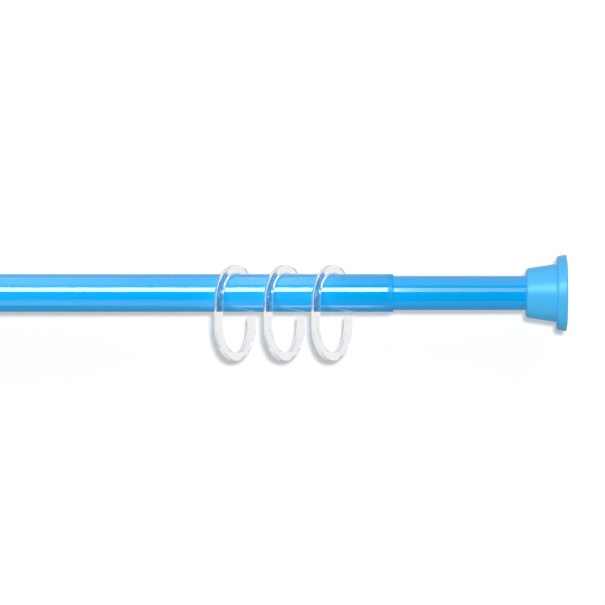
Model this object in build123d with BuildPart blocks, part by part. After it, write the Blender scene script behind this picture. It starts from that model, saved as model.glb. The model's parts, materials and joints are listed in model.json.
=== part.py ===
from build123d import *
from math import cos, radians, sin
import os

os.makedirs("parts", exist_ok=True)

# Extendable shower curtain rod, in millimetres. The origin is the middle of the left wall
# face, +X runs along the rod and +Z is up. The rod is drawn part way out, unlocked, with its
# spring at rest.

# Clearances. The first two are radial, the others lie along the rod.
fit_clearance = 0.05        # pieces pressed, bonded or screwed together
running_clearance = 0.08    # pieces that turn or slide on each other
stop_gap = 0.3              # a stop that is just reached
thrust_gap = 0.1            # faces that turn against each other

# Tubes. The inner one takes its size from the bore of the outer one.
outer_tube_diameter = 28.0
outer_tube_wall = 0.7
outer_tube_length = 710.0
tube_gap = 0.6              # radial space between the tubes
inner_tube_wall = 0.7
inner_tube_length = 650.0
bare_length = 97.4          # inner tube in sight between the collar and the right cap

outer_tube_radius = outer_tube_diameter / 2
outer_bore_radius = outer_tube_radius - outer_tube_wall
inner_tube_radius = outer_bore_radius - tube_gap
inner_bore_radius = inner_tube_radius - inner_tube_wall

# Guide collar: a lip as wide as the outer tube, on a thin bush between the tubes
collar_lip_length = 4.0
collar_bush_length = 25.0
collar_edge_land = 0.2      # radial, flat left inside the rounded edge

# End caps: a cone on a round flange, moulded hollow with ribs towards the wall
cap_mouth_step = 4.3        # radial, from the outer tube to the mouth of the cone
cap_cone_rise = 3.2         # radial, along the cone
cap_cone_length = 22.7
cap_wall = 1.8
cap_mouth_rounding = 2.8
flange_width = 6.7          # radial, from the foot of the cone
flange_length = 7.3
flange_draft = 0.7          # radial
flange_rounding = 2.2
flange_back_rounding = 0.5  # on the wall side
flange_rim = 2.9            # radial, round the pad
socket_wall = 1.6
socket_floor_wall = 2.0
spigot_length = 12.0
spigot_wall = 1.5
rib_count = 8
rib_thickness = 1.4

# Wall pads: soft discs let into the flanges, with rings moulded into the wall face
pad_thickness = 2.5
pad_proud = 0.5
pad_edge_gap = 0.2
pad_groove_count = 4
pad_groove_width = 1.2
pad_groove_pitch = 3.4
pad_groove_depth = 0.8
pad_edge_land = 2.0         # plain edge outside the last groove

# Curtain rings: open ovals that hang turned on the outer tube, with the mouth at the back
ring_places = (116.6, 80.2, 45.2)   # from the collar's right face to each ring's middle
ring_yaw = 30.7             # degrees, from square across the rod
ring_ease = 1.5             # radial, more than the turned tube needs
ring_hang_gap = 0.5         # under the top of the ring
ring_limb = 6.2             # across the limb, in the plane of the oval
ring_thickness = 5.0
ring_straight = 17.5        # straight part of each limb
ring_edge_rounding = 1.3
ring_end_rounding = 1.5
ring_mouth_drop = 3.2       # lower free end, below the tube
ring_mouth_angle = 40.0     # degrees, upper free end, above the middle of the upper bend

# Twist lock: a slotted sleeve in the outer tube, spread by a finned cone on a spindle
sleeve_length = 30.0
sleeve_end_wall = 4.0
finger_wall = 1.7           # at the mouth of the sleeve
wedge_length = 20.0         # tapered part of the sleeve's bore
wedge_rise = 3.0            # radial, over the tapered part
finger_slot_length = 22.0
fin_count = 4
fin_thickness = 2.8
fin_length = 10.0
fin_inset = 0.3             # radial, from the sleeve's outside
grip_groove_count = 3
grip_groove_width = 1.2
grip_groove_depth = 0.5
grip_groove_pitch = 4.0
cone_length = 15.0
cone_head_length = 4.0
cone_travel = 2.5           # from open to locked
wedge_clearance = 0.05      # radial, when locked

# Spindle: a screw for the cone, a shoulder, and a hexagon that carries the twist
screw_diameter = 8.0
screw_tail = 2.0
shoulder_diameter = 16.0
shoulder_length = 3.0
hexagon_across_flats = 9.0
washer_diameter = 14.5
washer_thickness = 0.8
clip_diameter = 12.5
clip_thickness = 1.2
clip_groove_depth = 0.8
clip_opening = 5.0

# Spring end: guide plug, plunger head with its screw, spring and spring seat
spring_travel = 25.0
plug_lip_length = 2.0
plug_length = 18.0
plug_lip_inset = 0.2
plunger_length = 8.0
plunger_gap = 0.3           # radial, in the inner tube
plunger_socket_depth = 5.0
spring_seat_length = 6.0
spring_seat_bore = 6.0
spigot_reach = 4.0          # spigots on the plunger head and the seat, inside the spring
spigot_gap = 0.6            # radial, inside the spring
spring_gap = 1.5            # radial, from the bore of the inner tube
spring_wire = 2.2
spring_turns = 14
spring_pitch = 5.4
screw_head_diameter = 8.0
screw_head_height = 3.0
screw_shank_diameter = 4.0
screw_shank_length = 14.0
screw_slot_width = 1.0
screw_slot_depth = 1.2

# Places along the rod, from the left wall
cap_flange_front = pad_proud + flange_length
cap_front = cap_flange_front + cap_cone_length
socket_floor = pad_thickness + socket_floor_wall
outer_tube_end = socket_floor + outer_tube_length
collar_face = outer_tube_end + collar_lip_length
right_cap_mouth = collar_face + bare_length
reach = right_cap_mouth + cap_front
inner_tube_start = reach - socket_floor - inner_tube_length
plug_start = inner_tube_start - plug_lip_length
plug_end = inner_tube_start + plug_length
shoulder_end = plug_start - spring_travel - stop_gap
shoulder_start = shoulder_end - shoulder_length
sleeve_end = shoulder_start - washer_thickness - thrust_gap
sleeve_start = sleeve_end - sleeve_length
cone_face = sleeve_start - cone_travel
cone_start = cone_face - cone_head_length
clip_end = cone_start - stop_gap
clip_start = clip_end - clip_thickness
spindle_start = clip_start - screw_tail
plunger_start = plug_end + stop_gap
plunger_face = plunger_start + plunger_length
spring_length = spring_turns * spring_pitch + spring_wire
seat_face = plunger_face + spring_length

# Radii that several pieces share
cone_mouth_radius = outer_tube_radius + cap_mouth_step
cone_foot_radius = cone_mouth_radius + cap_cone_rise
flange_radius = cone_foot_radius + flange_width
recess_radius = flange_radius - flange_rim
sleeve_radius = outer_bore_radius - running_clearance
sleeve_mouth_radius = sleeve_radius - finger_wall
sleeve_throat_radius = sleeve_mouth_radius - wedge_rise
screw_radius = screw_diameter / 2
spring_outer_radius = inner_bore_radius - spring_gap
spring_radius = spring_outer_radius - spring_wire / 2
spring_spigot_radius = spring_radius - spring_wire / 2 - spigot_gap
ring_inner_radius = outer_tube_radius / cos(radians(ring_yaw)) ** 2 + ring_ease
ring_outer_radius = ring_inner_radius + ring_limb
ring_height = outer_tube_radius + ring_hang_gap - ring_inner_radius - ring_straight / 2


def across(x):
    """Plane square across the rod at this distance from the left wall."""
    return Plane.YZ.offset(x)


def keep(piece, name):
    """Name a finished piece and write it."""
    piece.part.label = name
    export_step(piece.part, f"parts/{name}.step")


def make_tube(start, length, outer, inner):
    """Plain drawn tube between two radii."""
    with BuildPart() as tube:
        with BuildSketch(across(start)):
            Circle(outer)
            Circle(inner, mode=Mode.SUBTRACT)
        extrude(amount=length)
    return tube


def make_end_cap(tube_radius, bore_radius):
    """End cap on a wall at the origin, with a socket that faces +X for this tube."""
    socket_radius = tube_radius + fit_clearance
    sleeve_outside = socket_radius + socket_wall
    spigot_radius = bore_radius - fit_clearance
    plate_back = cap_flange_front - cap_wall
    front_back = cap_front - cap_wall
    slope = cap_cone_rise / cap_cone_length
    shell_foot = cone_foot_radius + slope * cap_wall - cap_wall
    shell_mouth = cone_mouth_radius + slope * cap_wall - cap_wall

    # Hollow between the outer skin and the socket, with the ribs left standing in it
    with BuildPart() as hollow:
        with BuildSketch(Plane.XY):
            with BuildLine():
                Polyline(
                    (pad_thickness, sleeve_outside),
                    (pad_thickness, recess_radius - cap_wall),
                    (plate_back, recess_radius - cap_wall),
                    (plate_back, shell_foot),
                    (front_back, shell_mouth),
                    (front_back, sleeve_outside),
                    close=True,
                )
            make_face()
        revolve(axis=Axis.X)
        with BuildSketch(across(pad_thickness)):
            with PolarLocations(0, rib_count):
                Rectangle(flange_radius, rib_thickness, align=(Align.MIN, Align.CENTER))
        extrude(amount=cap_front, mode=Mode.SUBTRACT)

    with BuildPart() as cap:
        with BuildSketch(Plane.XY) as outline:
            with BuildLine():
                Polyline(
                    (pad_proud, 0),
                    (pad_proud, flange_radius),
                    (cap_flange_front, flange_radius - flange_draft),
                    (cap_flange_front, cone_foot_radius),
                    (cap_front, cone_mouth_radius),
                    (cap_front, 0),
                    close=True,
                )
            make_face()
            stations = outline.vertices().group_by(Axis.X)
            back_edge = stations[0].sort_by(Axis.Y)[-1]
            flange_edge = stations[1].sort_by(Axis.Y)[-1]
            mouth_edge = stations[2].sort_by(Axis.Y)[-1]
            fillet(back_edge, flange_back_rounding)
            fillet(flange_edge, flange_rounding)
            fillet(mouth_edge, cap_mouth_rounding)
        revolve(axis=Axis.X)
        with BuildSketch(across(pad_proud)):
            Circle(recess_radius)
        extrude(amount=pad_thickness - pad_proud, mode=Mode.SUBTRACT)
        add(hollow.part, mode=Mode.SUBTRACT)
        with BuildSketch(across(socket_floor)):
            Circle(socket_radius)
        extrude(amount=cap_front - socket_floor, mode=Mode.SUBTRACT)
        with BuildSketch(across(socket_floor)):
            Circle(spigot_radius)
            Circle(spigot_radius - spigot_wall, mode=Mode.SUBTRACT)
        extrude(amount=spigot_length)
    return cap


def make_wall_pad():
    """Soft disc on a wall at the origin, with rings cut into its wall face."""
    pad_radius = recess_radius - pad_edge_gap
    with BuildPart() as pad:
        with BuildSketch(across(0)):
            Circle(pad_radius)
        extrude(amount=pad_thickness)
        with BuildSketch(across(0)):
            for groove in range(pad_groove_count):
                outside = pad_radius - pad_edge_land - groove * pad_groove_pitch
                Circle(outside)
                Circle(outside - pad_groove_width, mode=Mode.SUBTRACT)
        extrude(amount=pad_groove_depth, mode=Mode.SUBTRACT)
    return pad


def make_curtain_ring(place):
    """Open oval ring on the outer tube, this far left of the collar's face."""
    yaw = radians(ring_yaw)
    ring_plane = Plane(
        origin=(collar_face - place, 0, ring_height),
        x_dir=(sin(yaw), cos(yaw), 0),
        z_dir=(cos(yaw), -sin(yaw), 0),
    )
    lower_end = -outer_tube_radius - ring_mouth_drop - ring_height
    beyond = 2 * ring_outer_radius
    upper_ray = beyond * sin(radians(ring_mouth_angle)) / cos(radians(ring_mouth_angle))
    with BuildPart() as ring:
        with BuildSketch(ring_plane) as oval:
            SlotCenterToCenter(ring_straight, 2 * ring_outer_radius, rotation=90)
            SlotCenterToCenter(
                ring_straight, 2 * ring_inner_radius, rotation=90, mode=Mode.SUBTRACT
            )
            with BuildLine():
                Polyline(
                    (0, lower_end),
                    (beyond, lower_end),
                    (beyond, ring_straight / 2 + upper_ray),
                    (0, ring_straight / 2),
                    close=True,
                )
            make_face(mode=Mode.SUBTRACT)
            fillet(oval.vertices(Select.LAST), ring_end_rounding)
        extrude(amount=ring_thickness / 2, both=True)
        faces = ring.faces().filter_by(Axis(ring_plane.origin, ring_plane.z_dir))
        fillet(faces.edges(), ring_edge_rounding)
    return ring


outer_tube = make_tube(socket_floor, outer_tube_length, outer_tube_radius, outer_bore_radius)
keep(outer_tube, "outer_tube")

inner_tube = make_tube(
    inner_tube_start, inner_tube_length, inner_tube_radius, inner_bore_radius
)
keep(inner_tube, "inner_tube")

left_end_cap = make_end_cap(outer_tube_radius, outer_bore_radius)
keep(left_end_cap, "left_end_cap")

left_wall_pad = make_wall_pad()
keep(left_wall_pad, "left_wall_pad")

middle_of_reach = across(reach / 2)
with BuildPart() as right_end_cap:
    mirror(make_end_cap(inner_tube_radius, inner_bore_radius).part, about=middle_of_reach)
keep(right_end_cap, "right_end_cap")

with BuildPart() as right_wall_pad:
    mirror(left_wall_pad.part, about=middle_of_reach)
keep(right_wall_pad, "right_wall_pad")

# Collar: half section turned about the rod
guide_radius = inner_tube_radius + running_clearance
bush_radius = outer_bore_radius - fit_clearance
with BuildPart() as guide_collar:
    with BuildSketch(Plane.XY) as collar_section:
        with BuildLine():
            Polyline(
                (outer_tube_end - collar_bush_length, guide_radius),
                (outer_tube_end - collar_bush_length, bush_radius),
                (outer_tube_end, bush_radius),
                (outer_tube_end, outer_tube_radius),
                (collar_face, outer_tube_radius),
                (collar_face, guide_radius),
                close=True,
            )
        make_face()
        outer_corner = collar_section.vertices().group_by(Axis.X)[-1].sort_by(Axis.Y)[-1]
        fillet(outer_corner, outer_tube_radius - guide_radius - collar_edge_land)
    revolve(axis=Axis.X)
keep(guide_collar, "guide_collar")

for number, place in enumerate(ring_places, start=1):
    keep(make_curtain_ring(place), f"curtain_ring_{number}")

# Expander sleeve: fingers with a tapered bore, open to the left, and a solid end
finger_slot_width = fin_thickness + 2 * running_clearance
with BuildPart() as expander_sleeve:
    with BuildSketch(Plane.XY):
        with BuildLine():
            Polyline(
                (sleeve_start, sleeve_mouth_radius),
                (sleeve_start, sleeve_radius),
                (sleeve_end, sleeve_radius),
                (sleeve_end, screw_radius + running_clearance),
                (sleeve_end - sleeve_end_wall, screw_radius + running_clearance),
                (sleeve_end - sleeve_end_wall, sleeve_throat_radius),
                (sleeve_start + wedge_length, sleeve_throat_radius),
                close=True,
            )
        make_face()
    revolve(axis=Axis.X)
    with BuildSketch(across(sleeve_start)):
        with PolarLocations(0, fin_count):
            Rectangle(outer_tube_radius, finger_slot_width, align=(Align.MIN, Align.CENTER))
    extrude(amount=finger_slot_length, mode=Mode.SUBTRACT)
    for groove in range(grip_groove_count):
        groove_start = sleeve_start + (groove + 1) * grip_groove_pitch
        with BuildSketch(across(groove_start)):
            Circle(sleeve_radius)
            Circle(sleeve_radius - grip_groove_depth, mode=Mode.SUBTRACT)
        extrude(amount=grip_groove_width, mode=Mode.SUBTRACT)
keep(expander_sleeve, "expander_sleeve")

# Lock cone: wedge, round head, and fins that ride in the slots of the sleeve
wedge_slope = wedge_rise / wedge_length
cone_large_radius = sleeve_mouth_radius - wedge_clearance
with BuildPart() as lock_cone:
    with BuildSketch(Plane.XY):
        with BuildLine():
            Polyline(
                (cone_start, 0),
                (cone_start, cone_large_radius),
                (cone_face, cone_large_radius),
                (cone_face + cone_length, cone_large_radius - wedge_slope * cone_length),
                (cone_face + cone_length, 0),
                close=True,
            )
        make_face()
    revolve(axis=Axis.X)
    with BuildSketch(across(cone_start)):
        with PolarLocations(0, fin_count):
            Rectangle(sleeve_radius - fin_inset, fin_thickness, align=(Align.MIN, Align.CENTER))
    extrude(amount=cone_head_length + fin_length)
    with BuildSketch(across(cone_start)):
        Circle(screw_radius + running_clearance)
    extrude(amount=cone_head_length + cone_length, mode=Mode.SUBTRACT)
keep(lock_cone, "lock_cone")

# Spindle: screw, shoulder and hexagon, with a groove for the clip and a hole for the screw
hexagon_end = plunger_start + plunger_socket_depth
groove_radius = screw_radius - clip_groove_depth
shank_hole_length = screw_shank_length - (plunger_length + spigot_reach - plunger_socket_depth)
with BuildPart() as lock_spindle:
    with BuildSketch(across(spindle_start)):
        Circle(screw_radius)
    extrude(amount=shoulder_start - spindle_start)
    with BuildSketch(across(shoulder_start)):
        Circle(shoulder_diameter / 2)
    extrude(amount=shoulder_length)
    with BuildSketch(across(shoulder_end)):
        RegularPolygon(hexagon_across_flats / 2, 6, major_radius=False)
    extrude(amount=hexagon_end - shoulder_end)
    with BuildSketch(across(clip_start)):
        Circle(screw_radius)
        Circle(groove_radius, mode=Mode.SUBTRACT)
    extrude(amount=clip_thickness, mode=Mode.SUBTRACT)
    with BuildSketch(across(hexagon_end)):
        Circle(screw_shank_diameter / 2)
    extrude(amount=-shank_hole_length, mode=Mode.SUBTRACT)
    chamfer(lock_spindle.faces().sort_by(Axis.X)[0].edges(), clip_groove_depth / 2)
keep(lock_spindle, "lock_spindle")

# Thrust washer: runs between the shoulder and the end of the sleeve
thrust_washer = make_tube(
    shoulder_start - washer_thickness,
    washer_thickness,
    washer_diameter / 2,
    screw_radius + fit_clearance,
)
keep(thrust_washer, "thrust_washer")

# Stop clip: snaps into the groove, so that the cone can't run off the screw
with BuildPart() as stop_clip:
    with BuildSketch(across(clip_start)):
        Circle(clip_diameter / 2)
        Circle(groove_radius, mode=Mode.SUBTRACT)
        with Locations((0, clip_diameter / 2)):
            Rectangle(clip_opening, clip_diameter, mode=Mode.SUBTRACT)
    extrude(amount=clip_thickness)
keep(stop_clip, "stop_clip")

# Guide plug: fixed in the end of the inner tube, with a bore that the hexagon slides in
with BuildPart() as guide_plug:
    with BuildSketch(across(plug_start)):
        Circle(inner_tube_radius - plug_lip_inset)
    extrude(amount=plug_lip_length)
    with BuildSketch(across(inner_tube_start)):
        Circle(inner_bore_radius - fit_clearance)
    extrude(amount=plug_length)
    with BuildSketch(across(plug_start)):
        RegularPolygon(
            hexagon_across_flats / 2 + running_clearance, 6, major_radius=False
        )
    extrude(amount=plug_lip_length + plug_length, mode=Mode.SUBTRACT)
keep(guide_plug, "guide_plug")

# Plunger head: pushed by the spring, screwed to the end of the hexagon
with BuildPart() as plunger_head:
    with BuildSketch(across(plunger_start)):
        Circle(inner_bore_radius - plunger_gap)
    extrude(amount=plunger_length)
    with BuildSketch(across(plunger_face)):
        Circle(spring_spigot_radius)
    extrude(amount=spigot_reach)
    with BuildSketch(across(plunger_start)):
        RegularPolygon(hexagon_across_flats / 2 + fit_clearance, 6, major_radius=False)
    extrude(amount=plunger_socket_depth, mode=Mode.SUBTRACT)
    with BuildSketch(across(plunger_start)):
        Circle(screw_shank_diameter / 2 + fit_clearance)
    extrude(amount=plunger_length + spigot_reach, mode=Mode.SUBTRACT)
keep(plunger_head, "plunger_head")

# Plunger screw: round head with one slot
screw_seat = plunger_face + spigot_reach
with BuildPart() as plunger_screw:
    with BuildSketch(across(screw_seat - screw_shank_length)):
        Circle(screw_shank_diameter / 2)
    extrude(amount=screw_shank_length)
    with BuildSketch(across(screw_seat)):
        Circle(screw_head_diameter / 2)
    extrude(amount=screw_head_height)
    fillet(plunger_screw.faces().sort_by(Axis.X)[-1].edges(), screw_head_height / 3)
    with BuildSketch(across(screw_seat + screw_head_height)):
        Rectangle(screw_head_diameter, screw_slot_width)
    extrude(amount=-screw_slot_depth, mode=Mode.SUBTRACT)
keep(plunger_screw, "plunger_screw")

# Spring seat: fixed in the inner tube, with a spigot inside the spring
with BuildPart() as spring_seat:
    with BuildSketch(across(seat_face)):
        Circle(inner_bore_radius - fit_clearance)
    extrude(amount=spring_seat_length)
    with BuildSketch(across(seat_face)):
        Circle(spring_spigot_radius)
    extrude(amount=-spigot_reach)
    with BuildSketch(across(seat_face - spigot_reach)):
        Circle(spring_seat_bore / 2)
    extrude(amount=spring_seat_length + spigot_reach, mode=Mode.SUBTRACT)
keep(spring_seat, "spring_seat")

# Tension spring: one round wire wound between the plunger head and the seat
with BuildPart() as tension_spring:
    with BuildLine() as coil:
        Helix(
            pitch=spring_pitch,
            height=spring_turns * spring_pitch,
            radius=spring_radius,
            center=(plunger_face + spring_wire / 2, 0, 0),
            direction=(1, 0, 0),
        )
    with BuildSketch(coil.line ^ 0):
        Circle(spring_wire / 2)
    sweep(is_frenet=True)
keep(tension_spring, "tension_spring")
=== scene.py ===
import json
from math import atan2, cos, pi, radians, sin, tan

import bmesh
import bpy
import numpy as np
from bpy.props import FloatProperty, FloatVectorProperty, IntProperty, PointerProperty
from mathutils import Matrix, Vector


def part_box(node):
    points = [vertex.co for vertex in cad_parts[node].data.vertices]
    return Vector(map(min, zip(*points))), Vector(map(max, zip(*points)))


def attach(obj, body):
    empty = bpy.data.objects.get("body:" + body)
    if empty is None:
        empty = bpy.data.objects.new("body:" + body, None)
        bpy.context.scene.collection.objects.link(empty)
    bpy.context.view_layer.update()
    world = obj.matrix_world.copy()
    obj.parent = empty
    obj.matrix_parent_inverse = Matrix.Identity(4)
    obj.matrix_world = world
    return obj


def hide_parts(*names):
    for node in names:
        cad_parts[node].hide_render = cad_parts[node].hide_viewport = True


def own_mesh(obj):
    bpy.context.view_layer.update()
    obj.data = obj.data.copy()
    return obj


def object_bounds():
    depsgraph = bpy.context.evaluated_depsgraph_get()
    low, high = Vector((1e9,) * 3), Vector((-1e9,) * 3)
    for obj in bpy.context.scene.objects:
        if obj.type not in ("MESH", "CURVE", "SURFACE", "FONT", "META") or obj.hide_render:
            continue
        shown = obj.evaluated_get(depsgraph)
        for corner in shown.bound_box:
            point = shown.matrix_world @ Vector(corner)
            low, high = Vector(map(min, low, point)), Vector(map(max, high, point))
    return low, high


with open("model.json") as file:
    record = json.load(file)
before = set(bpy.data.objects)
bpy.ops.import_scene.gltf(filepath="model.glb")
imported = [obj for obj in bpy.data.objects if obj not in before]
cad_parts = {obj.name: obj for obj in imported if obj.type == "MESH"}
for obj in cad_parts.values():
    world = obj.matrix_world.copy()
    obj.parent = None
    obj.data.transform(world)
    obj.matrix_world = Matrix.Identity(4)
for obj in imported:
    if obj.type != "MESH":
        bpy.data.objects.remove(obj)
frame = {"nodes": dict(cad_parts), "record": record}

bl_info = {
    "name": "Extendable Curtain Rod",
    "version": (1, 0, 0),
    "blender": (4, 5, 0),
    "location": "View3D > Sidebar > Curtain Rod",
    "description": "Makes the lacquered tubes, caps, pads, rings and lock of a telescopic rod",
    "category": "Add Mesh",
}

CAD_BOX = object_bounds()
RECORD = frame["record"]
BODY_OF = {
    node: body for body, nodes in RECORD["behaviour"]["bodies"].items() for node in nodes
}
SLOT_OF = {part["node"]: part["material_slot"] for part in RECORD["subparts"]}
RING_NODES = ("curtain_ring_1", "curtain_ring_2", "curtain_ring_3")
SHARP_ANGLE = radians(35)
MERGE_DISTANCE = 1e-7
EDGE_STEPS = 5  # Points along a small dressed edge
CORNER_STEPS = 9  # Points along a larger rounding
BROAD_SCALE = 30.0  # Of the noise that the masks come from
NOISE_LOW, NOISE_HIGH = 0.3, 0.7  # Between which most of a noise lies
CLIP_REACH = 10  # End of the camera's sight, in distances from the camera to the rod


# Settings


def length(name, description, default):
    """A length in metres, shown in the scene's own unit."""
    return FloatProperty(
        name=name, description=description, default=default, min=0.0, unit="LENGTH", precision=5
    )


def place(name, description, default):
    """A coordinate in metres."""
    return FloatProperty(
        name=name, description=description, default=default, unit="LENGTH", precision=5
    )


def angle(name, description, degrees):
    """An angle, given in degrees and kept in radians."""
    return FloatProperty(
        name=name, description=description, default=radians(degrees), subtype="ANGLE"
    )


def share(name, description, default):
    """A number from 0 to 1."""
    return FloatProperty(name=name, description=description, default=default, min=0.0, max=1.0)


def level(name, description, default):
    """A plain positive number."""
    return FloatProperty(name=name, description=description, default=default, min=0.0)


def count(name, description, default):
    """A whole number."""
    return IntProperty(name=name, description=description, default=default, min=1)


def tint(name, description, default):
    """A linear colour."""
    return FloatVectorProperty(
        name=name, description=description, default=default, size=3, min=0.0, max=1.0,
        subtype="COLOR",
    )


class TubeSettings(bpy.types.PropertyGroup):
    """Sizes of the two tubes and of the collar between them."""

    wall: length("Wall", "Thickness of the steel", 0.0007)
    end_rounding: length("End rounding", "Dressed edge at the ends of a tube", 0.0002)
    steps: count("Steps", "Faces round a turned piece", 144)
    running_gap: length("Running gap", "Radial, from the collar to the inner tube", 0.00008)
    fit_gap: length("Fit gap", "Radial, between pieces that are pressed together", 0.00005)
    collar_lip: length("Collar lip", "Length of the collar outside the tube", 0.004)
    collar_rounding: length("Collar rounding", "Outer edge of the collar", 0.00102)


class CapSettings(bpy.types.PropertyGroup):
    """Sizes of the end caps and of the wall pads."""

    flange_length: length("Flange length", "Along the rod", 0.0073)
    flange_rounding: length("Flange rounding", "Edge on the room side", 0.0022)
    back_rounding: length("Back rounding", "Edge on the wall side", 0.0005)
    mouth_rounding: length("Mouth rounding", "Edge where the tube goes in", 0.0028)
    cone_rise: length("Cone rise", "Radial, from the mouth to the flange", 0.0032)
    flange_width: length("Flange width", "Radial, outside the cone", 0.0067)
    flange_draft: length("Flange draft", "Radial, over the flange's length", 0.0007)
    wall: length("Wall", "Skin of the moulding", 0.0018)
    rim: length("Rim", "Radial, round the pad", 0.0029)
    socket_wall: length("Socket wall", "Round the tube", 0.0016)
    floor: length("Floor", "Bottom of the socket", 0.002)
    spigot_length: length("Spigot length", "Inside the tube", 0.012)
    spigot_wall: length("Spigot wall", "Inside the tube", 0.0015)
    ribs: count("Ribs", "Ribs in the hollow behind the pad", 8)
    rib_thickness: length("Rib thickness", "Of each rib", 0.0014)
    pad_grooves: count("Pad grooves", "Rings in the pad's wall face", 4)
    groove_width: length("Groove width", "Of each ring", 0.0012)
    groove_pitch: length("Groove pitch", "From ring to ring", 0.0034)
    groove_depth: length("Groove depth", "Of each ring", 0.0008)
    edge_land: length("Edge land", "Plain edge of the pad", 0.002)


class RingSettings(bpy.types.PropertyGroup):
    """Sizes of the clear curtain rings."""

    yaw: angle("Yaw", "Turn of a ring about the upright", 30.7)
    limb: length("Limb", "Across the limb, in the plane of the ring", 0.0062)
    thickness: length("Thickness", "Of the limb, square to the ring's plane", 0.005)
    straight: length("Straight", "Straight part of each limb", 0.0175)
    edge_rounding: length("Edge rounding", "Long edges of the limb", 0.0013)
    end_rounding: length("End rounding", "Free ends of the limb", 0.0015)
    mouth_drop: length("Mouth drop", "Lower free end, below the tube", 0.0032)
    mouth_angle: angle("Mouth angle", "Upper free end, above the bend's middle", 40)
    steps: count("Steps", "Stations along a ring", 220)
    end_steps: count("End steps", "Stations round each free end", 7)


class LockSettings(bpy.types.PropertyGroup):
    """Sizes of the tension spring."""

    wire: length("Wire", "Diameter of the spring wire", 0.0022)
    turns: count("Turns", "Turns of the spring", 14)
    closed_turns: level("Closed turns", "Turns laid flat at each end", 1.0)
    turn_steps: count("Turn steps", "Stations round each turn", 36)
    wire_steps: count("Wire steps", "Faces round the wire", 12)


class FinishSettings(bpy.types.PropertyGroup):
    """Colours of the finishes."""

    outer_lacquer: tint("Outer lacquer", "Blue lacquer, outer tube", (0.0, 0.39, 0.88))
    inner_lacquer: tint("Inner lacquer", "Blue lacquer, inner tube", (0.0, 0.42, 0.95))
    collar: tint("Collar", "Blue plastic of the collar", (0.0, 0.39, 0.90))
    # Partly the plastic's own blue and partly painted reflection: its red is raised to stand in
    # for the pale gloss on the caps' upper side.
    cap: tint("Cap", "Blue plastic of the end caps", (0.073, 0.545, 1.0))
    pad: tint("Pad", "Soft rubber of the wall pads", (0.05, 0.28, 0.60))
    clear: tint("Clear", "Clear plastic of the rings", (0.85, 0.85, 0.85))
    clear_shadow: share("Clear shadow", "Light that each face of a ring lets through", 0.2)
    nylon: tint("Nylon", "White plastic inside the tubes", (0.80, 0.80, 0.77))
    steel: tint("Steel", "Plated steel of the spindle", (0.58, 0.59, 0.61))
    wire: tint("Wire", "Spring wire and clip", (0.35, 0.36, 0.38))


class StageSettings(bpy.types.PropertyGroup):
    """Camera, lights, backdrop, floor and reflected cards."""

    picture_width: length("Picture width", "Width of the view at the rod", 0.4458)
    view_x: place("View X", "Middle of the view", 0.6515)
    view_z: place("View Z", "Middle of the view", -0.00707)
    distance: length("Distance", "From the camera to the rod", 5.673)
    backdrop_gap: length("Backdrop gap", "From the rod's axis to the backdrop", 0.07)
    backdrop_size: length("Backdrop size", "Width of the backdrop", 3.0)
    floor_drop: length("Floor drop", "From the rod's axis to the floor", 0.6)
    backdrop_glow: level("Backdrop glow", "Own light of the backdrop", 0.135)
    floor_glow: level("Floor glow", "Own light of the floor, which the lamps only graze", 0.52)
    # Its warm trace is painted shade colour: it cancels the blue light that the lacquer throws
    # into the rod's shadow on the backdrop and floor.
    backdrop_white: tint("Backdrop white", "Matt white, a trace warm", (0.99, 0.97, 0.945))
    bounce: share("Bounce", "How much light the backdrop throws on the rod", 0.55)
    room_light: level("Room light", "Even light from all sides", 0.3)
    room_gloss: level("Room gloss", "Room as the lacquer mirrors it", 1.5)
    key_light: level("Key light", "Light that casts the shadow", 0.54)
    key_lift: angle("Key lift", "Height of the key light", 2.6)
    key_x: place("Key X", "Place of the key light along the rod", 0.84)
    key_distance: length("Key distance", "From the rod to the key light", 5.6)
    key_spread: angle("Key spread", "Size of the key light, as seen from the rod", 2.8)
    fill_light: level("Fill light", "Wide light from above", 0.15)
    fill_lift: angle("Fill lift", "Height of the fill light", 50)
    fill_spread: angle("Fill spread", "Size of the fill light, as seen from the rod", 60)
    rear_light: level("Rear light", "Light on the rod's wall side", 0.4)
    rear_side: angle("Rear side", "Turn of the rear light to the right", 180)
    rear_spread: angle("Rear spread", "Size of the rear light, as seen from the rod", 20)
    wash_light: level("Wash light", "Light on the left part of the rod", 0.32)
    wash_side: angle("Wash side", "Turn of the wash light to the left", 22)
    wash_lift: angle("Wash lift", "Height of the wash light", 6)
    wash_middle: place("Wash middle", "Middle of the wash light's pool", 0.25)
    wash_reach: length("Wash reach", "From the pool's middle to its edge", 0.45)
    wash_distance: length("Wash distance", "From the rod to the wash light", 2.5)
    wash_size: length("Wash size", "Radius of the wash light", 0.06)
    wash_blend: share("Wash blend", "Soft part of the wash light's pool", 0.35)
    card_distance: length("Card distance", "From the rod to the reflected cards", 1.5)


class RodSettings(bpy.types.PropertyGroup):
    """Everything that a user may set."""

    tube: PointerProperty(type=TubeSettings)
    cap: PointerProperty(type=CapSettings)
    ring: PointerProperty(type=RingSettings)
    lock: PointerProperty(type=LockSettings)
    finish: PointerProperty(type=FinishSettings)
    stage: PointerProperty(type=StageSettings)


# Surfaces


def arc(centre_x, centre_r, radius, start, end, steps=CORNER_STEPS):
    """Points on a circle: its centre plus radius times the cosine and sine of even angles."""
    turn = np.radians(np.linspace(start, end, steps))
    return np.stack([centre_x + radius * np.cos(turn), centre_r + radius * np.sin(turn)], -1)


def outline(*stretches):
    """Joins single points and arcs into one line of points."""
    return np.vstack([np.atleast_2d(np.asarray(part, float)) for part in stretches])


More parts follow.
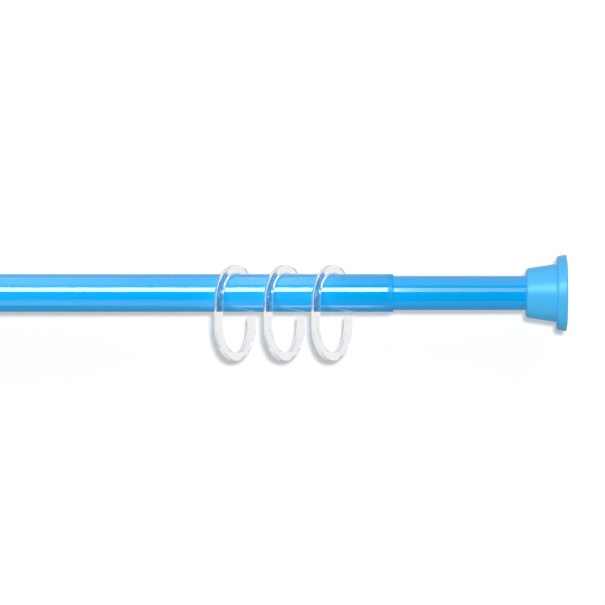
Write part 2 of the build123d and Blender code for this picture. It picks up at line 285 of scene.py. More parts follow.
def grid_faces(rows, columns, wrap_rows, wrap_columns):
    """Four-cornered faces between neighbours on a grid, closed on itself where it wraps."""
    row = np.arange(rows if wrap_rows else rows - 1)
    column = np.arange(columns if wrap_columns else columns - 1)
    a, b = np.meshgrid(row, column, indexing="ij")
    next_a, next_b = (a + 1) % rows, (b + 1) % columns
    corners = (a * columns + b, next_a * columns + b, next_a * columns + next_b,
               a * columns + next_b)
    return np.stack(corners, -1).reshape(-1, 4)


def turned(line, steps, closed):
    """Surface of revolution: (x, r) goes round the rod as (x, r cos a, r sin a)."""
    turn = np.linspace(0, 2 * pi, steps, endpoint=False)
    x = np.repeat(line[:, :1], steps, axis=1)
    y = line[:, 1:] * np.cos(turn)
    z = line[:, 1:] * np.sin(turn)
    points = np.stack([x, y, z], -1).reshape(-1, 3)
    return points, grid_faces(len(line), steps, closed, True)


def plate(corners, thickness, turn):
    """Flat plate: corners (x, r) set out to both sides of a plane through the rod's axis."""
    corners = np.asarray(corners, float)
    total = len(corners)
    side = np.repeat([-thickness / 2, thickness / 2], total)
    x, r = np.tile(corners, (2, 1)).T
    points = np.stack([x, r * cos(turn) - side * sin(turn), r * sin(turn) + side * cos(turn)], -1)
    walls = grid_faces(2, total, False, True)
    ends = [list(range(total)), list(range(total, 2 * total))]
    return points, [list(face) for face in walls] + ends


def rounded_section(width, height, rounding, steps=6):
    """Rounded rectangle: four quarter circles of one radius, inset from the corners."""
    quarter = np.radians(np.linspace(0, 90, steps))
    turn = np.concatenate([quarter + radians(90) * corner for corner in range(4)])
    sign_p = np.repeat([1, -1, -1, 1], steps)
    sign_q = np.repeat([1, 1, -1, -1], steps)
    p = sign_p * (width / 2 - rounding) + rounding * np.cos(turn)
    q = sign_q * (height / 2 - rounding) + rounding * np.sin(turn)
    return np.stack([p, q], -1)


def closed_ends(points):
    """Surface of sections along a path, whose first and last close at their own middles."""
    ends = points[[0, -1]].mean(axis=1, keepdims=True) + np.zeros_like(points[[0, -1]])
    points = np.concatenate([ends[:1], points, ends[1:]])
    rows, columns = points.shape[:2]
    return points.reshape(-1, 3), grid_faces(rows, columns, False, True)


def merged(shells):
    """One list of points and one of faces from several closed surfaces."""
    points, faces, start = [], [], 0
    for shell_points, shell_faces in shells:
        points.append(shell_points)
        faces.extend([[int(i) + start for i in face] for face in shell_faces])
        start += len(shell_points)
    return np.vstack(points), faces


def make_mesh(name, shells):
    """Mesh with its doubles merged, its faces outwards, smooth up to the sharp angle."""
    points, faces = merged(shells)
    mesh = bpy.data.meshes.new(name)
    mesh.from_pydata(points.tolist(), [], faces)
    work = bmesh.new()
    work.from_mesh(mesh)
    bmesh.ops.remove_doubles(work, verts=work.verts, dist=MERGE_DISTANCE)
    bmesh.ops.dissolve_degenerate(work, edges=work.edges, dist=MERGE_DISTANCE)
    bmesh.ops.recalc_face_normals(work, faces=work.faces)
    work.to_mesh(mesh)
    work.free()
    mesh.shade_smooth()
    mesh.set_sharp_from_angle(angle=SHARP_ANGLE)
    return mesh


def stand_for(node, shells, material):
    """New piece in the place of a CAD node, on its body and with the given finish."""
    name = f"{node}_surface"
    piece = bpy.data.objects.new(name, make_mesh(name, shells))
    bpy.context.scene.collection.objects.link(piece)
    piece.data.materials.append(material)
    weighted = piece.modifiers.new("Weighted Normal", "WEIGHTED_NORMAL")
    weighted.keep_sharp = True
    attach(piece, BODY_OF[node])
    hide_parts(node)
    return piece


def dress(node, material):
    """A CAD node keeps its shape and gets this finish."""
    piece = frame["nodes"][node]
    for slot in piece.material_slots:
        slot.material = material


# Finishes


def grey(brightness):
    """Grey of this brightness, from black at 0 to white at 1, as red, green, blue and alpha."""
    return brightness, brightness, brightness, 1.0


def new_group(name, inputs, outputs):
    """Empty shader node group with these named sockets."""
    group = bpy.data.node_groups.new(name, "ShaderNodeTree")
    for socket, kind, default in inputs:
        made = group.interface.new_socket(socket, in_out="INPUT", socket_type=kind)
        made.default_value = default
    for socket, kind in outputs:
        group.interface.new_socket(socket, in_out="OUTPUT", socket_type=kind)
    return group, group.nodes.new("NodeGroupInput"), group.nodes.new("NodeGroupOutput")


def surface_grain():
    """Shared group: fine relief that can be drawn out along the rod, and a soft mask."""
    name = "Surface Grain"
    if name in bpy.data.node_groups:
        return bpy.data.node_groups[name]
    group, source, result = new_group(
        name,
        [("Scale", "NodeSocketFloat", 400.0), ("Along Rod", "NodeSocketFloat", 1.0),
         ("Detail", "NodeSocketFloat", 2.0)],
        [("Height", "NodeSocketFloat"), ("Mask", "NodeSocketFloat")],
    )
    nodes, links = group.nodes, group.links
    where = nodes.new("ShaderNodeTexCoord")
    stretch = nodes.new("ShaderNodeCombineXYZ")
    stretch.inputs["Y"].default_value = 1.0
    stretch.inputs["Z"].default_value = 1.0
    scaled = nodes.new("ShaderNodeVectorMath")
    scaled.operation = "MULTIPLY"
    fine = nodes.new("ShaderNodeTexNoise")
    broad = nodes.new("ShaderNodeTexNoise")
    broad.inputs["Scale"].default_value = BROAD_SCALE
    links.new(source.outputs["Along Rod"], stretch.inputs["X"])
    links.new(where.outputs["Object"], scaled.inputs[0])
    links.new(stretch.outputs["Vector"], scaled.inputs[1])
    links.new(scaled.outputs["Vector"], fine.inputs["Vector"])
    links.new(scaled.outputs["Vector"], broad.inputs["Vector"])
    links.new(source.outputs["Scale"], fine.inputs["Scale"])
    links.new(source.outputs["Detail"], fine.inputs["Detail"])
    links.new(fine.outputs["Fac"], result.inputs["Height"])
    links.new(broad.outputs["Fac"], result.inputs["Mask"])
    return group


def tone_drift():
    """Shared group: a colour that drifts a little lighter and darker with a mask."""
    name = "Tone Drift"
    if name in bpy.data.node_groups:
        return bpy.data.node_groups[name]
    group, source, result = new_group(
        name,
        [("Color", "NodeSocketColor", (0.5, 0.5, 0.5, 1.0)), ("Mask", "NodeSocketFloat", 0.5),
         ("Low", "NodeSocketFloat", 0.97), ("High", "NodeSocketFloat", 1.03)],
        [("Color", "NodeSocketColor")],
    )
    nodes, links = group.nodes, group.links
    span = nodes.new("ShaderNodeMapRange")
    span.inputs["From Min"].default_value = NOISE_LOW
    span.inputs["From Max"].default_value = NOISE_HIGH
    shade = nodes.new("ShaderNodeVectorMath")
    shade.operation = "SCALE"
    links.new(source.outputs["Mask"], span.inputs["Value"])
    links.new(source.outputs["Low"], span.inputs["To Min"])
    links.new(source.outputs["High"], span.inputs["To Max"])
    links.new(source.outputs["Color"], shade.inputs[0])
    links.new(span.outputs["Result"], shade.inputs["Scale"])
    links.new(shade.outputs["Vector"], result.inputs["Color"])
    return group


def new_material(name):
    """Material with its nodes and its links."""
    material = bpy.data.materials.new(name)
    material.use_nodes = True
    return material, material.node_tree.nodes, material.node_tree.links


def new_finish(name, colour, grain, along, relief, drift, roughness, spread, plain):
    """Material with grain in its relief and roughness, drift in its colour, and plain values.

    The roughness runs from roughness to roughness plus spread with the grain's mask.
    """
    material, nodes, links = new_material(name)
    shader = nodes["Principled BSDF"]
    for socket, value in plain.items():
        shader.inputs[socket].default_value = value
    pattern = nodes.new("ShaderNodeGroup")
    pattern.node_tree = surface_grain()
    pattern.inputs["Scale"].default_value = grain
    pattern.inputs["Along Rod"].default_value = along
    tone = nodes.new("ShaderNodeGroup")
    tone.node_tree = tone_drift()
    tone.inputs["Color"].default_value = (*colour, 1.0)
    tone.inputs["Low"].default_value = 1 - drift
    tone.inputs["High"].default_value = 1 + drift
    links.new(pattern.outputs["Mask"], tone.inputs["Mask"])
    links.new(tone.outputs["Color"], shader.inputs["Base Color"])
    dull = nodes.new("ShaderNodeMapRange")
    dull.inputs["To Min"].default_value = roughness
    dull.inputs["To Max"].default_value = roughness + spread
    links.new(pattern.outputs["Mask"], dull.inputs["Value"])
    links.new(dull.outputs["Result"], shader.inputs["Roughness"])
    bump = nodes.new("ShaderNodeBump")
    bump.inputs["Strength"].default_value = 1.0
    bump.inputs["Distance"].default_value = relief
    links.new(pattern.outputs["Height"], bump.inputs["Height"])
    links.new(bump.outputs["Normal"], shader.inputs["Normal"])
    return material


def let_light_through(material, clearness):
    """The piece's shadow is only as dark as what its plastic keeps back."""
    nodes, links = material.node_tree.nodes, material.node_tree.links
    rays = nodes.new("ShaderNodeLightPath")
    clear = nodes.new("ShaderNodeBsdfTransparent")
    clear.inputs["Color"].default_value = grey(clearness)
    both = nodes.new("ShaderNodeMixShader")
    links.new(rays.outputs["Is Shadow Ray"], both.inputs["Fac"])
    links.new(nodes["Principled BSDF"].outputs["BSDF"], both.inputs[1])
    links.new(clear.outputs["BSDF"], both.inputs[2])
    links.new(both.outputs["Shader"], nodes["Material Output"].inputs["Surface"])


def finish(name):
    """Finish of this name, made the first time that it is asked for."""
    made = f"finish_{name}"
    if made in bpy.data.materials:
        return bpy.data.materials[made]
    colours = bpy.context.scene.curtain_rod.finish
    recipes = {
        "outer_lacquer": dict(
            colour=colours.outer_lacquer, grain=500.0, along=0.3, relief=0.0000004, drift=0.01,
            roughness=0.5, spread=0.1,
            plain={"Specular IOR Level": 0.0, "Coat Weight": 1.0, "Coat Roughness": 0.03,
                   "Coat IOR": 1.6},
        ),
        "inner_lacquer": dict(
            colour=colours.inner_lacquer, grain=500.0, along=0.3, relief=0.0000004, drift=0.01,
            roughness=0.5, spread=0.1,
            plain={"Specular IOR Level": 0.0, "Coat Weight": 1.0, "Coat Roughness": 0.055,
                   "Coat IOR": 1.6},
        ),
        "collar_plastic": dict(
            colour=colours.collar, grain=900.0, along=1.0, relief=0.000006, drift=0.02,
            roughness=0.20, spread=0.06, plain={"IOR": 1.49, "Specular IOR Level": 0.3},
        ),
        "cap_plastic": dict(
            colour=colours.cap, grain=1100.0, along=1.0, relief=0.000008, drift=0.025,
            roughness=0.26, spread=0.06, plain={"IOR": 1.49, "Specular IOR Level": 0.26},
        ),
        "pad_rubber": dict(
            colour=colours.pad, grain=1500.0, along=1.0, relief=0.00002, drift=0.05,
            roughness=0.65, spread=0.15, plain={"IOR": 1.45},
        ),
        "clear_plastic": dict(
            colour=colours.clear, grain=120.0, along=1.0, relief=0.000004, drift=0.0,
            roughness=0.06, spread=0.02,
            plain={"IOR": 1.23, "Transmission Weight": 1.0},
        ),
        "lock_plastic": dict(
            colour=colours.nylon, grain=800.0, along=1.0, relief=0.00001, drift=0.03,
            roughness=0.45, spread=0.1, plain={"IOR": 1.53},
        ),
        "spindle_steel": dict(
            colour=colours.steel, grain=1200.0, along=0.1, relief=0.000006, drift=0.06,
            roughness=0.25, spread=0.15, plain={"Metallic": 1.0},
        ),
        "spring_steel": dict(
            colour=colours.wire, grain=1500.0, along=1.0, relief=0.000004, drift=0.08,
            roughness=0.3, spread=0.15, plain={"Metallic": 1.0},
        ),
    }
    material = new_finish(made, **recipes[name])
    if name == "clear_plastic":
        let_light_through(material, colours.clear_shadow)
    return material


# Pieces


class CURTAIN_ROD_OT_tubes(bpy.types.Operator):
    """Makes both lacquered tubes, with dressed ends and open bores"""

    bl_idname = "curtain_rod.tubes"
    bl_label = "Tubes"

    def execute(self, context):
        sizes = context.scene.curtain_rod.tube
        for node, lacquer in (("outer_tube", "outer_lacquer"), ("inner_tube", "inner_lacquer")):
            low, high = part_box(node)
            outside, bore, edge = high.z, high.z - sizes.wall, sizes.end_rounding
            line = outline(
                (low.x, bore),
                arc(low.x + edge, outside - edge, edge, 180, 90, EDGE_STEPS),
                arc(high.x - edge, outside - edge, edge, 90, 0, EDGE_STEPS),
                (high.x, bore),
            )
            stand_for(node, [turned(line, sizes.steps, True)], finish(lacquer))
        return {"FINISHED"}


class CURTAIN_ROD_OT_collar(bpy.types.Operator):
    """Makes the guide collar: a rounded lip on a thin bush"""

    bl_idname = "curtain_rod.collar"
    bl_label = "Collar"

    def execute(self, context):
        sizes = context.scene.curtain_rod.tube
        low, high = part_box("guide_collar")
        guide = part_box("inner_tube")[1].z + sizes.running_gap
        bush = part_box("outer_tube")[1].z - sizes.wall - sizes.fit_gap
        lip_start = high.x - sizes.collar_lip
        rounding, edge = sizes.collar_rounding, sizes.end_rounding
        line = outline(
            (low.x, guide),
            (low.x, bush),
            (lip_start, bush),
            arc(lip_start + edge, high.z - edge, edge, 180, 90, EDGE_STEPS),
            arc(high.x - rounding, high.z - rounding, rounding, 90, 0),
            (high.x, guide),
        )
        stand_for("guide_collar", [turned(line, sizes.steps, True)], finish("collar_plastic"))
        return {"FINISHED"}


def cap_shells(cap_node, tube_node, tube, cap):
    """End cap measured from its wall: skin, socket and spigot in one turn, and its ribs.

    The line is worked out from the wall inwards and then laid along +X or -X.
    """
    low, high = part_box(cap_node)
    pad_low, pad_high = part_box(cap_node.replace("end_cap", "wall_pad"))
    right = cap_node.startswith("right")
    wall_x, way = (pad_high.x, -1) if right else (pad_low.x, 1)
    proud = pad_high.x - high.x if right else low.x - pad_low.x
    recess = pad_high.x - pad_low.x
    front = proud + high.x - low.x
    flange_front = proud + cap.flange_length
    flange = high.z
    foot = flange - cap.flange_width
    mouth = foot - cap.cone_rise
    slope = cap.cone_rise / (front - flange_front)
    tilt = np.degrees(np.arctan(slope))
    draft_tilt = np.degrees(np.arctan(cap.flange_draft / cap.flange_length))
    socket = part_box(tube_node)[1].z + tube.fit_gap
    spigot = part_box(tube_node)[1].z - tube.wall - tube.fit_gap
    floor = recess + cap.floor
    sleeve = socket + cap.socket_wall
    pad_seat = flange - cap.rim
    plate_back, front_back = flange_front - cap.wall, front - cap.wall
    skin_foot = foot + slope * cap.wall - cap.wall
    skin_mouth = mouth + slope * cap.wall - cap.wall
    edge, corner, nose = cap.back_rounding, cap.flange_rounding, cap.mouth_rounding
    line = outline(
        (recess, 0.0),
        (recess, sleeve),
        (front_back, sleeve),
        (front_back, skin_mouth),
        (plate_back, skin_foot),
        (plate_back, pad_seat - cap.wall),
        (recess, pad_seat - cap.wall),
        (recess, pad_seat),
        (proud, pad_seat),
        arc(proud + edge, flange - edge, edge, 180, 90, EDGE_STEPS),
        arc(flange_front - corner, flange - cap.flange_draft - corner, corner,
            90 - draft_tilt, 0),
        (flange_front, foot),
        arc(front - nose, mouth + slope * nose / 2 - nose, nose, 90 - tilt, 0),
        (front, socket),
        (floor, socket),
        (floor, spigot),
        (floor + cap.spigot_length, spigot),
        (floor + cap.spigot_length, spigot - cap.spigot_wall),
        (floor, spigot - cap.spigot_wall),
        (floor, 0.0),
    )
    # The ribs end inside the skin and the socket's wall, by this much
    sunk = cap.back_rounding
    rib = [
        (recess, sleeve - sunk),
        (recess, pad_seat - cap.wall),
        (plate_back, pad_seat - cap.wall + sunk),
        (plate_back, skin_foot + sunk),
        (front_back + sunk, skin_mouth + sunk),
        (front_back + sunk, sleeve - sunk),
    ]
    line[:, 0] = wall_x + way * line[:, 0]
    rib = [(wall_x + way * x, r) for x, r in rib]
    turns = np.linspace(0, 2 * pi, cap.ribs, endpoint=False)
    ribs = [plate(rib, cap.rib_thickness, turn) for turn in turns]
    return [turned(line, tube.steps, False)] + ribs


class CURTAIN_ROD_OT_caps(bpy.types.Operator):
    """Makes both end caps: a cone on a round flange, hollow and ribbed towards the wall"""

    bl_idname = "curtain_rod.caps"
    bl_label = "End Caps"

    def execute(self, context):
        rod = context.scene.curtain_rod
        for cap_node, tube_node in (("left_end_cap", "outer_tube"),
                                    ("right_end_cap", "inner_tube")):
            shells = cap_shells(cap_node, tube_node, rod.tube, rod.cap)
            stand_for(cap_node, shells, finish("cap_plastic"))
        return {"FINISHED"}


class CURTAIN_ROD_OT_pads(bpy.types.Operator):
    """Makes both wall pads, with rings cut into the face that meets the wall"""

    bl_idname = "curtain_rod.pads"
    bl_label = "Wall Pads"

    def execute(self, context):
        rod = context.scene.curtain_rod
        cap = rod.cap
        for node in ("left_wall_pad", "right_wall_pad"):
            low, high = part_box(node)
            edge = cap.back_rounding
            face = [(0.0, 0.0)]
            for groove in reversed(range(cap.pad_grooves)):
                outside = high.z - cap.edge_land - groove * cap.groove_pitch
                inside = outside - cap.groove_width
                face += [(0.0, inside), (cap.groove_depth, inside),
                         (cap.groove_depth, outside), (0.0, outside)]
            line = outline(
                face,
                arc(edge, high.z - edge, edge, 180, 90, EDGE_STEPS),
                (high.x - low.x, high.z),
                (high.x - low.x, 0.0),
            )
            right = node.startswith("right")
            line[:, 0] = high.x - line[:, 0] if right else low.x + line[:, 0]
            stand_for(node, [turned(line, rod.tube.steps, False)], finish("pad_rubber"))
        return {"FINISHED"}


def ring_shell(node, ring):
    """Rounded limb carried along an open oval: two straights and two half circles.

    Stations are even along the oval. Near the free ends the section shrinks as a circle does,
    so that the ends are rounded, and the last section is closed by its own middle.
    """
    low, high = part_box(node)
    tube_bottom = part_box("outer_tube")[0].z
    half_height = (high.z - low.z) / 2
    middle_x, middle_z = (low.x + high.x) / 2, (low.z + high.z) / 2
    bend = half_height - ring.straight / 2 - ring.limb / 2
    lower_v = tube_bottom - ring.mouth_drop - middle_z
    # Lengths along the oval from the lower free end, down, round, up and over
    first = lower_v + ring.straight / 2
    half_turn = pi * bend
    last = bend * (pi - ring.mouth_angle)
    total = first + half_turn + ring.straight + last
    ease = ring.end_rounding
    near = ease * (1 - np.cos(np.linspace(0, pi / 2, ring.end_steps)))
    along = np.concatenate([near, np.linspace(ease, total - ease, ring.steps)[1:-1],
                            total - near[::-1]])
    foot, side = first, first + half_turn
    lower_turn = np.clip((along - foot) / bend, 0, pi)
    upper_turn = np.clip((along - side - ring.straight) / bend, 0, pi)
    turn = lower_turn + upper_turn
    u = bend * np.cos(turn)
    v = np.where(along < foot, lower_v - along, 0.0)
    low_part = (along >= foot) & (along < side)
    v = np.where(low_part, -ring.straight / 2 - bend * np.sin(lower_turn), v)
    rise = (along >= side) & (along < side + ring.straight)
    v = np.where(rise, -ring.straight / 2 + along - side, v)
    v = np.where(along >= side + ring.straight,
                 ring.straight / 2 + bend * np.sin(upper_turn), v)
    outward = np.stack([np.cos(turn), -np.sin(turn)], -1)
    to_end = np.minimum(np.minimum(along, total - along), ease)
    inset = ease - np.sqrt(ease ** 2 - (ease - to_end) ** 2)
    section = rounded_section(ring.limb, ring.thickness, ring.edge_rounding)
    reach_p = 1 - 2 * inset / ring.limb
    reach_q = 1 - 2 * inset * ring.edge_rounding / ring.end_rounding / ring.thickness
    p = section[:, 0] * reach_p[:, None]
    q = section[:, 1] * reach_q[:, None]
    in_u = u[:, None] + outward[:, :1] * p
    in_v = v[:, None] + outward[:, 1:] * p
    side_x, side_y = sin(ring.yaw), cos(ring.yaw)
    points = np.stack([
        middle_x + in_u * side_x + q * side_y,
        in_u * side_y - q * side_x,
        middle_z + in_v,
    ], -1)
    return closed_ends(points)


class CURTAIN_ROD_OT_rings(bpy.types.Operator):
    """Makes the clear curtain rings that hang on the outer tube"""

    bl_idname = "curtain_rod.rings"
    bl_label = "Curtain Rings"

    def execute(self, context):
        ring = context.scene.curtain_rod.ring
        for node in RING_NODES:
            stand_for(node, [ring_shell(node, ring)], finish("clear_plastic"))
        return {"FINISHED"}


def spring_shell(low, high, lock):
    """Round wire along a helix whose first and last turns lie flat, with closed ends.

    The helix climbs by a smooth share of each turn, and the wire's section is a circle
    across the helix: across the axis and square to the wire.
    """
    wire = lock.wire / 2
    radius = high.z - wire
    start, end = low.x + wire, high.x - wire
    total = lock.turns + 2 * lock.closed_turns
    turns = np.linspace(0, total, int(total * lock.turn_steps) + 1)
    flat = 2 * wire * lock.closed_turns
    inner = np.clip((turns - lock.closed_turns) / lock.turns, 0, 1)
    outer = np.clip(turns, 0, lock.closed_turns) + np.clip(
        turns - lock.turns - lock.closed_turns, 0, lock.closed_turns)
    x = start + outer / lock.closed_turns * flat + inner * (end - start - 2 * flat)
    turn = 2 * pi * turns
    middle = np.stack([x, radius * np.cos(turn), radius * np.sin(turn)], -1)
    along = np.gradient(middle, axis=0)
    along /= np.linalg.norm(along, axis=1, keepdims=True)
    outward = np.stack([0 * turn, np.cos(turn), np.sin(turn)], -1)
    across = np.cross(along, outward)
    round_wire = np.linspace(0, 2 * pi, lock.wire_steps, endpoint=False)[None, :, None]
    points = (middle[:, None] + wire * (np.cos(round_wire) * outward[:, None]
                                        + np.sin(round_wire) * across[:, None]))
    return closed_ends(points)


class CURTAIN_ROD_OT_lock(bpy.types.Operator):
    """Makes the spring, and finishes the lock's pieces inside the tubes"""

    bl_idname = "curtain_rod.lock"
    bl_label = "Lock and Spring"

    def execute(self, context):
        lock = context.scene.curtain_rod.lock
        low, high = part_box("tension_spring")
        spring = stand_for("tension_spring", [spring_shell(low, high, lock)],
                           finish("spring_steel"))
        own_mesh(spring)
        for node, slot in SLOT_OF.items():
            if slot in ("lock_plastic", "spindle_steel", "spring_steel"):
                dress(node, finish(slot))
        return {"FINISHED"}


# Stage


# Cards that only reflections see, on a cylinder about the rod: the elevations between which
# each one lies, in degrees from level towards the camera, and its brightness from left to right
# as pairs of X and brightness. Then the X at which all of them end.
REFLECTIONS = {
    "top_glow": (52.0, 110.0, ((0.37, 2.35), (0.46, 2.0), (0.50, 1.6), (0.57, 1.6), (0.60, 2.8),
                               (0.65, 2.5), (0.69, 1.05), (1.2, 1.1))),
    "upper_gap": (32.5, 52.0, ((0.37, 1.4), (0.55, 1.1), (0.65, 0.8), (0.69, 0.25),
                               (1.2, 0.2))),
    "strip_light": (7.0, 32.5, ((-1.2, 14.0), (0.733, 14.0), (0.739, 6.8), (0.757, 4.4),
                                (0.80, 3.4), (0.85, 2.8), (0.90, 0.8), (1.2, 0.5))),
    "dark_flag": (-42.0, 7.0, ((0.37, 0.16), (0.48, 0.05), (0.55, 0.03), (0.60, 0.3),
                               (0.655, 0.3), (0.69, 0.03), (1.2, 0.02))),
    "low_step": (-58.0, -42.0, ((0.37, 0.95), (0.55, 0.75), (0.60, 0.5), (0.65, 0.2),
                                (0.72, 0.15), (0.735, 0.03), (1.2, 0.02))),
    "low_glow": (-82.0, -58.0, ((0.37, 1.6), (0.55, 1.3), (0.60, 0.9), (0.65, 0.37),
                                (0.72, 0.3), (0.75, 0.5), (1.2, 0.5))),
    "low_line": (-100.0, -82.0, ((0.37, 0.15), (0.48, 0.5), (0.55, 0.7), (0.60, 2.6),
                                 (0.71, 2.6), (0.735, 0.4), (1.2, 0.5))),
    "dark_back": (-180.0, -100.0, ((-1.2, 0.35), (1.2, 0.35))),
    "pale_back": (110.0, 180.0, ((-1.2, 0.9), (1.2, 0.9))),
}
REFLECTION_ENDS = (-1.2, 1.8)


def card(name, points, faces, material, **seen):
    """Flat or bowed card. The named kinds of ray see it or not."""
    mesh = bpy.data.meshes.new(name)
    mesh.from_pydata(np.asarray(points, float).tolist(), [], np.asarray(faces).tolist())
    mesh.materials.append(material)
    piece = bpy.data.objects.new(name, mesh)
    bpy.context.scene.collection.objects.link(piece)
    for kind, visible in seen.items():
        setattr(piece, f"visible_{kind}", visible)
    return piece


def matt_white(name, stage, glow):
    """Matt white that is clear from behind, so that the rod can be seen from every side.

    The camera sees it lit from within a little as well, and plain white through clear plastic.
    What it throws on the rod is less than what the camera sees of it.
    """
    material, nodes, links = new_material(name)
    seen, result = nodes["Principled BSDF"], nodes["Material Output"]
    seen.inputs["Base Color"].default_value = (*stage.backdrop_white, 1.0)
    seen.inputs["Roughness"].default_value = 1.0
    seen.inputs["Specular IOR Level"].default_value = 0.0
    seen.inputs["Emission Color"].default_value = grey(1.0)
    seen.inputs["Emission Strength"].default_value = glow
    thrown = nodes.new("ShaderNodeBsdfDiffuse")
    thrown.inputs["Color"].default_value = grey(stage.bounce)
    plain = nodes.new("ShaderNodeEmission")
    rays = nodes.new("ShaderNodeLightPath")
    side = nodes.new("ShaderNodeNewGeometry")
    clear = nodes.new("ShaderNodeBsdfTransparent")
    front, through = nodes.new("ShaderNodeMixShader"), nodes.new("ShaderNodeMixShader")
    both = nodes.new("ShaderNodeMixShader")
    links.new(rays.outputs["Is Camera Ray"], front.inputs["Fac"])
    links.new(thrown.outputs["BSDF"], front.inputs[1])
    links.new(seen.outputs["BSDF"], front.inputs[2])
    links.new(rays.outputs["Is Transmission Ray"], through.inputs["Fac"])
    links.new(front.outputs["Shader"], through.inputs[1])
    links.new(plain.outputs["Emission"], through.inputs[2])
    links.new(side.outputs["Backfacing"], both.inputs["Fac"])
    links.new(through.outputs["Shader"], both.inputs[1])
    links.new(clear.outputs["BSDF"], both.inputs[2])
    links.new(both.outputs["Shader"], result.inputs["Surface"])
    return material


def glow_finish(name, profile):
    """Light that gets brighter and darker along X, by the brightness at some places."""
    places, strengths = zip(*profile)
    most = max(strengths)
    material, nodes, links = new_material(name)
    shader = nodes["Principled BSDF"]
    shader.inputs["Base Color"].default_value = grey(0.0)
    shader.inputs["Specular IOR Level"].default_value = 0.0
    shader.inputs["Emission Color"].default_value = grey(1.0)
    where = nodes.new("ShaderNodeTexCoord")
    along = nodes.new("ShaderNodeSeparateXYZ")
    span = nodes.new("ShaderNodeMapRange")
    span.inputs["From Min"].default_value = places[0]
    span.inputs["From Max"].default_value = places[-1]
    ramp = nodes.new("ShaderNodeValToRGB")
    stops = ramp.color_ramp.elements
    for x in places[1:-1]:
        stops.new((x - places[0]) / (places[-1] - places[0]))
    for stop, strength in zip(stops, strengths):
        stop.color = grey(strength / most)
    times = nodes.new("ShaderNodeMath")
    times.operation = "MULTIPLY"
    times.inputs[1].default_value = most
    links.new(where.outputs["Object"], along.inputs["Vector"])
    links.new(along.outputs["X"], span.inputs["Value"])
    links.new(span.outputs["Result"], ramp.inputs["Fac"])
    links.new(ramp.outputs["Color"], times.inputs[0])
    links.new(times.outputs["Value"], shader.inputs["Emission Strength"])
    return material


def white_room(stage):
    """World: white to the camera and through clear plastic, brighter in gloss, and even light."""
    world = bpy.data.worlds.new("white_room")
    world.use_nodes = True
    bpy.context.scene.world = world
    nodes, links = world.node_tree.nodes, world.node_tree.links
    background = nodes["Background"]
    background.inputs["Color"].default_value = grey(1.0)
    rays = nodes.new("ShaderNodeLightPath")
    seen = nodes.new("ShaderNodeMath")
    seen.operation = "MAXIMUM"
    direct = nodes.new("ShaderNodeMapRange")
    direct.inputs["To Min"].default_value = stage.room_light
    direct.inputs["To Max"].default_value = 1.0
    gloss = nodes.new("ShaderNodeMapRange")
    gloss.inputs["To Max"].default_value = stage.room_gloss
    links.new(rays.outputs["Is Camera Ray"], seen.inputs[0])
    links.new(rays.outputs["Is Transmission Ray"], seen.inputs[1])
    links.new(seen.outputs["Value"], direct.inputs["Value"])
    links.new(rays.outputs["Is Glossy Ray"], gloss.inputs["Value"])
    links.new(direct.outputs["Result"], gloss.inputs["To Min"])
    links.new(gloss.outputs["Result"], background.inputs["Strength"])


def bowed_card(low, high, distance, steps=9):
    """Part of a cylinder about the rod: Y is minus the distance times the elevation's cosine."""
    lift = np.radians(np.linspace(low, high, steps))
    x = np.tile(REFLECTION_ENDS, (steps, 1))
    y = np.repeat(-distance * np.cos(lift)[:, None], 2, axis=1)
    z = np.repeat(distance * np.sin(lift)[:, None], 2, axis=1)
    return np.stack([x, y, z], -1).reshape(-1, 3), grid_faces(steps, 2, False, False)


def direction(side, lift):
    """Way from the rod to a light: turned to the right of the camera, and lifted from level."""
    return Vector((sin(side) * cos(lift), -cos(side) * cos(lift), sin(lift)))


def lamp(data, target, way):
    """Light on the way out from its target, turned to it, that nothing mirrors or shows."""
    made = bpy.data.objects.new(data.name, data)
    bpy.context.scene.collection.objects.link(made)
    made.location = Vector(target) + way
    made.rotation_euler = (-way).to_track_quat("-Z", "Y").to_euler()
    made.visible_glossy = False
    made.visible_transmission = False
    return made


def all_but(piece):
    """Collection for a light's links, by which it passes this piece over."""
    others = bpy.data.collections.new(f"all_but_{piece.name}")
    others.objects.link(piece)
    others.collection_objects[0].light_linking.link_state = "EXCLUDE"
    return others


def sun_power(strength):
    """Watts per square metre: pi makes matt white that faces the light just white."""
    return strength * pi


def bulb_power(strength, away):
    """Watts of a bulb that lights as much as such a sun at this distance."""
    return sun_power(strength) * 4 * pi * away ** 2


def sun(name, strength, way, spread, target):
    """Far light of one size, as seen from the rod."""
    data = bpy.data.lights.new(name, "SUN")
    data.energy = sun_power(strength)
    data.angle = spread
    return lamp(data, target, way)


def key(stage):
    """Far bulb that casts the shadow. Its shadows fan out a little from under it."""
    away = stage.key_distance
    data = bpy.data.lights.new("key", "POINT")
    data.energy = bulb_power(stage.key_light, away)
    data.shadow_soft_size = away * tan(stage.key_spread / 2)
    lamp(data, (stage.key_x, 0, 0), direction(0, stage.key_lift) * away)


def wash(stage):
    """Round pool of light from the left."""
    away = stage.wash_distance
    data = bpy.data.lights.new("wash", "SPOT")
    data.energy = bulb_power(stage.wash_light, away)
    data.spot_size = 2 * atan2(stage.wash_reach, away)
    data.spot_blend = stage.wash_blend
    data.shadow_soft_size = stage.wash_size
    way = direction(-stage.wash_side, stage.wash_lift) * away
    return lamp(data, (stage.wash_middle, 0, 0), way)


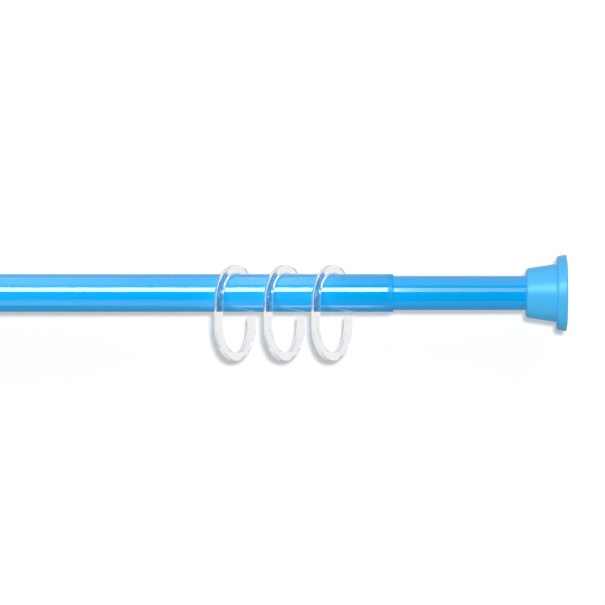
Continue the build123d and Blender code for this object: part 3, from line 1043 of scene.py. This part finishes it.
class CURTAIN_ROD_OT_stage(bpy.types.Operator):
    """Makes the camera, the white backdrop and floor, and the soft lights"""

    bl_idname = "curtain_rod.stage"
    bl_label = "Stage"

    def execute(self, context):
        stage = context.scene.curtain_rod.stage
        scene = context.scene
        scene.view_settings.view_transform = "Standard"
        white_room(stage)
        self.make_camera(scene, stage)
        rod_alone = all_but(self.make_cards(stage))
        middle = (stage.view_x, 0, 0)
        above, behind = direction(0, stage.fill_lift), direction(stage.rear_side, 0)
        key(stage)
        sun("fill", stage.fill_light, above, stage.fill_spread, middle)
        rear = sun("rear", stage.rear_light, behind, stage.rear_spread, middle)
        # The backdrop lets the rear light pass, and the wash doesn't light it
        rear.light_linking.blocker_collection = rod_alone
        wash(stage).light_linking.receiver_collection = rod_alone
        return {"FINISHED"}

    def make_camera(self, scene, stage):
        """Long lens, level and square to the rod."""
        data = bpy.data.cameras.new("camera")
        camera = bpy.data.objects.new("camera", data)
        scene.collection.objects.link(camera)
        camera.location = (stage.view_x, -stage.distance, stage.view_z)
        camera.rotation_euler = (pi / 2, 0, 0)
        data.lens = data.sensor_width * stage.distance / stage.picture_width
        data.clip_end = CLIP_REACH * stage.distance
        scene.camera = camera

    def make_cards(self, stage):
        """Backdrop close behind the rod, a floor from its foot forwards, and the reflections."""
        half, gap, drop = stage.backdrop_size / 2, stage.backdrop_gap, stage.floor_drop
        middle = (CAD_BOX[0][0] + CAD_BOX[1][0]) / 2
        face = grid_faces(2, 2, False, False)
        sides = (middle - half, middle + half)
        upright = [(x, gap, z) for z in (drop, -drop) for x in sides]
        level = [(x, y, -drop) for y in (gap, -half) for x in sides]
        backdrop = card("backdrop", upright, face,
                        matt_white("backdrop_white", stage, stage.backdrop_glow), glossy=False)
        card("floor", level, face, matt_white("floor_white", stage, stage.floor_glow),
             glossy=False)
        for name, (low, high, profile) in REFLECTIONS.items():
            points, faces = bowed_card(low, high, stage.card_distance)
            card(name, points, faces, glow_finish(name, profile), camera=False, diffuse=False,
                 shadow=False, transmission=False)
        return backdrop


class CURTAIN_ROD_PT_panel(bpy.types.Panel):
    """Lists the pieces and their settings"""

    bl_idname = "CURTAIN_ROD_PT_panel"
    bl_label = "Extendable Curtain Rod"
    bl_space_type = "VIEW_3D"
    bl_region_type = "UI"
    bl_category = "Curtain Rod"

    def draw(self, context):
        rod = context.scene.curtain_rod
        for operator in OPERATORS:
            self.layout.operator(operator.bl_idname)
        for group in (rod.tube, rod.cap, rod.ring, rod.lock, rod.finish, rod.stage):
            box = self.layout.box()
            box.label(text=type(group).__name__)
            for name in type(group).__annotations__:
                box.prop(group, name)


SETTINGS = (
    TubeSettings, CapSettings, RingSettings, LockSettings, FinishSettings, StageSettings,
    RodSettings,
)
OPERATORS = (
    CURTAIN_ROD_OT_stage, CURTAIN_ROD_OT_tubes, CURTAIN_ROD_OT_collar, CURTAIN_ROD_OT_caps,
    CURTAIN_ROD_OT_pads, CURTAIN_ROD_OT_rings, CURTAIN_ROD_OT_lock,
)


def register():
    """Adds the settings, the operators and the panel."""
    for cls in (*SETTINGS, *OPERATORS, CURTAIN_ROD_PT_panel):
        bpy.utils.register_class(cls)
    bpy.types.Scene.curtain_rod = PointerProperty(type=RodSettings)


def unregister():
    """Takes them away again."""
    del bpy.types.Scene.curtain_rod
    for cls in reversed((*SETTINGS, *OPERATORS, CURTAIN_ROD_PT_panel)):
        bpy.utils.unregister_class(cls)


def main():
    """Makes every piece in order."""
    register()
    for operator in OPERATORS:
        group, name = operator.bl_idname.split(".")
        getattr(getattr(bpy.ops, group), name)()


if __name__ == "__main__":
    main()
